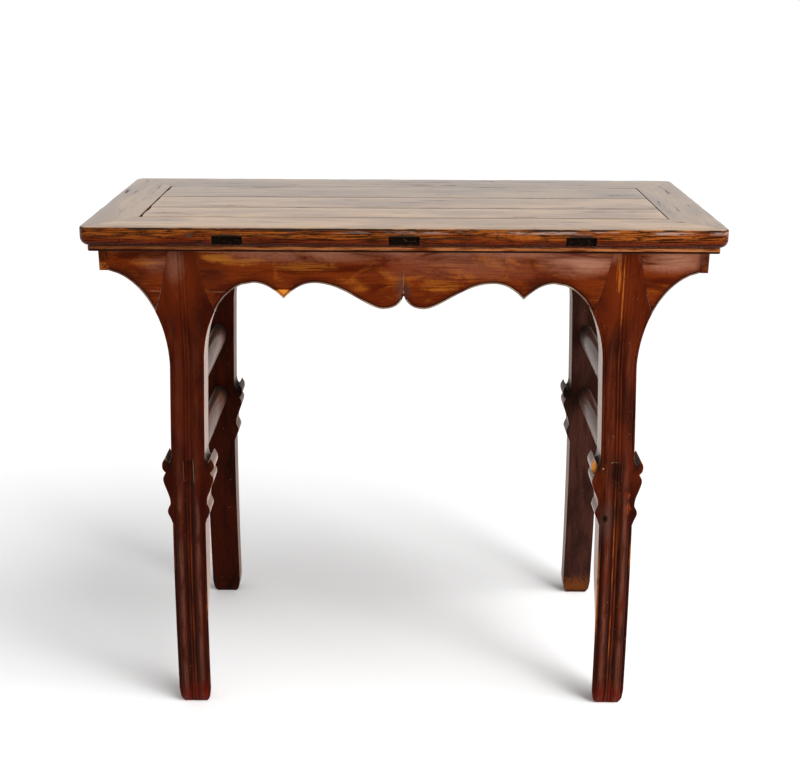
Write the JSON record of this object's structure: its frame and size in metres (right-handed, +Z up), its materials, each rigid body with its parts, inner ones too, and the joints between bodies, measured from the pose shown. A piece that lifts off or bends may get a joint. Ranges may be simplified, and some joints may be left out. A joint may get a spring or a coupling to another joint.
{
  "type": "wine table",
  "caption": "Recessed-leg wine table with a mitred panel top, scalloped aprons, flared legs with leaf flanges and oval end stretchers.",
  "frame": {"origin": "on the floor, under the middle of the top", "axes": "+X along the top to the viewer's right, +Y from the front to the back, +Z up"},
  "size_m": [0.982, 0.453, 0.83],
  "materials": {
    "edge_elm": "worn amber lacquer, satin",
    "panel_elm": "worn taupe-brown lacquer, satin",
    "lacquered_elm": "dark red-brown lacquer, glossy",
    "bare_elm": "bare aged wood, matt"
  },
  "bodies": {
    "root": {"front_long_rail": "edge_elm", "rear_long_rail": "edge_elm", "left_short_rail": "edge_elm", "right_short_rail": "edge_elm", "front_panel_board": "panel_elm", "middle_panel_board": "panel_elm", "rear_panel_board": "panel_elm", "front_apron": "lacquered_elm", "rear_apron": "lacquered_elm", "left_end_apron": "lacquered_elm", "right_end_apron": "lacquered_elm", "front_left_leg": "lacquered_elm", "front_right_leg": "lacquered_elm", "rear_left_leg": "lacquered_elm", "rear_right_leg": "lacquered_elm", "left_upper_stretcher": "lacquered_elm", "left_lower_stretcher": "lacquered_elm", "right_upper_stretcher": "lacquered_elm", "right_lower_stretcher": "lacquered_elm", "left_batten": "bare_elm", "middle_batten": "bare_elm", "right_batten": "bare_elm"}
  },
  "joints": []
}
